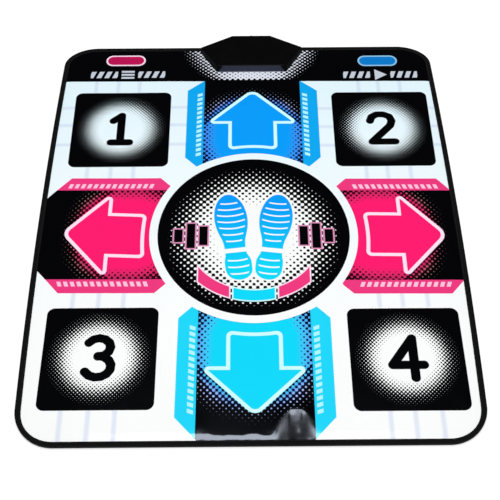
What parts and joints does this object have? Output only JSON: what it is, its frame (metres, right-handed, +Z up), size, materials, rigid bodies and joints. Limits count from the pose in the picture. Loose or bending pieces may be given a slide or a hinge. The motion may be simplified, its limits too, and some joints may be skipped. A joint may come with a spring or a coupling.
{
  "type": "dance mat controller",
  "caption": "Soft foot-operated game mat: arrow and square foot pads that press down on sprung contacts, small oval keys and a control box on its far edge.",
  "frame": {"origin": "centre of the mat's underside, which lies on the floor", "axes": "+X to the player's right, +Y from the player towards the control box, +Z up from the floor"},
  "size_m": [0.8148, 0.9656, 0.023],
  "materials": {
    "printed_vinyl": "gloss",
    "blue_vinyl": "gloss",
    "pink_vinyl": "gloss",
    "black_vinyl": "gloss",
    "backing_vinyl": "matte",
    "conductive_film": "satin",
    "foam": "matte",
    "binding_tape": "matte",
    "box_plastic": "satin",
    "board_green": "satin",
    "chip_black": "matte",
    "header_cream": "satin",
    "screw_steel": "satin",
    "grommet_rubber": "matte"
  },
  "bodies": {
    "mat": {"backing_sheet": "backing_vinyl", "lower_film": "conductive_film", "spacer_sheet": "foam", "upper_film": "conductive_film", "padding_sheet": "foam", "top_cover": "printed_vinyl", "edge_binding": "binding_tape", "box_base": "box_plastic", "box_cover": "box_plastic", "box_screw_front_left": "screw_steel", "box_screw_front_right": "screw_steel", "box_screw_rear_left": "screw_steel", "box_screw_rear_right": "screw_steel", "cable_grommet": "grommet_rubber", "circuit_board": "board_green", "controller_chip": "chip_black", "cable_header": "header_cream", "clamp_bar": "screw_steel", "clamp_screw_left": "screw_steel", "clamp_screw_right": "screw_steel", "tail_ribbon": "conductive_film", "up_spacer": "foam", "down_spacer": "foam", "left_spacer": "foam", "right_spacer": "foam", "far_left_spacer": "foam", "far_right_spacer": "foam", "near_left_spacer": "foam", "near_right_spacer": "foam"},
    "up_pad": {"up_face": "blue_vinyl", "up_foam": "foam", "up_contact": "conductive_film"},
    "down_pad": {"down_face": "blue_vinyl", "down_foam": "foam", "down_contact": "conductive_film"},
    "left_pad": {"left_face": "pink_vinyl", "left_foam": "foam", "left_contact": "conductive_film"},
    "right_pad": {"right_face": "pink_vinyl", "right_foam": "foam", "right_contact": "conductive_film"},
    "far_left_pad": {"far_left_face": "black_vinyl", "far_left_foam": "foam", "far_left_contact": "conductive_film"},
    "far_right_pad": {"far_right_face": "black_vinyl", "far_right_foam": "foam", "far_right_contact": "conductive_film"},
    "near_left_pad": {"near_left_face": "black_vinyl", "near_left_foam": "foam", "near_left_contact": "conductive_film"},
    "near_right_pad": {"near_right_face": "black_vinyl", "near_right_foam": "foam", "near_right_contact": "conductive_film"},
    "menu_key": {"menu_face": "pink_vinyl", "menu_foam": "foam", "menu_contact": "conductive_film"},
    "play_key": {"play_face": "blue_vinyl", "play_foam": "foam", "play_contact": "conductive_film"}
  },
  "joints": [
    {"name": "up_press", "type": "slide", "parent": "mat", "child": "up_pad", "axis": [0, 0, -1], "range_m": [0, 0.0019], "stiffness_N_per_m": 3000, "springref_m": -0.0005, "deforming": ["up_spacer"]},
    {"name": "down_press", "type": "slide", "parent": "mat", "child": "down_pad", "axis": [0, 0, -1], "range_m": [0, 0.0019], "stiffness_N_per_m": 3000, "springref_m": -0.0005, "deforming": ["down_spacer"]},
    {"name": "left_press", "type": "slide", "parent": "mat", "child": "left_pad", "axis": [0, 0, -1], "range_m": [0, 0.0019], "stiffness_N_per_m": 3000, "springref_m": -0.0005, "deforming": ["left_spacer"]},
    {"name": "right_press", "type": "slide", "parent": "mat", "child": "right_pad", "axis": [0, 0, -1], "range_m": [0, 0.0019], "stiffness_N_per_m": 3000, "springref_m": -0.0005, "deforming": ["right_spacer"]},
    {"name": "far_left_press", "type": "slide", "parent": "mat", "child": "far_left_pad", "axis": [0, 0, -1], "range_m": [0, 0.0019], "stiffness_N_per_m": 3000, "springref_m": -0.0005, "deforming": ["far_left_spacer"]},
    {"name": "far_right_press", "type": "slide", "parent": "mat", "child": "far_right_pad", "axis": [0, 0, -1], "range_m": [0, 0.0019], "stiffness_N_per_m": 3000, "springref_m": -0.0005, "deforming": ["far_right_spacer"]},
    {"name": "near_left_press", "type": "slide", "parent": "mat", "child": "near_left_pad", "axis": [0, 0, -1], "range_m": [0, 0.0019], "stiffness_N_per_m": 3000, "springref_m": -0.0005, "deforming": ["near_left_spacer"]},
    {"name": "near_right_press", "type": "slide", "parent": "mat", "child": "near_right_pad", "axis": [0, 0, -1], "range_m": [0, 0.0019], "stiffness_N_per_m": 3000, "springref_m": -0.0005, "deforming": ["near_right_spacer"]},
    {"name": "menu_press", "type": "slide", "parent": "mat", "child": "menu_key", "axis": [0, 0, -1], "range_m": [0, 0.0019], "stiffness_N_per_m": 300, "springref_m": -0.0005},
    {"name": "play_press", "type": "slide", "parent": "mat", "child": "play_key", "axis": [0, 0, -1], "range_m": [0, 0.0019], "stiffness_N_per_m": 300, "springref_m": -0.0005}
  ]
}
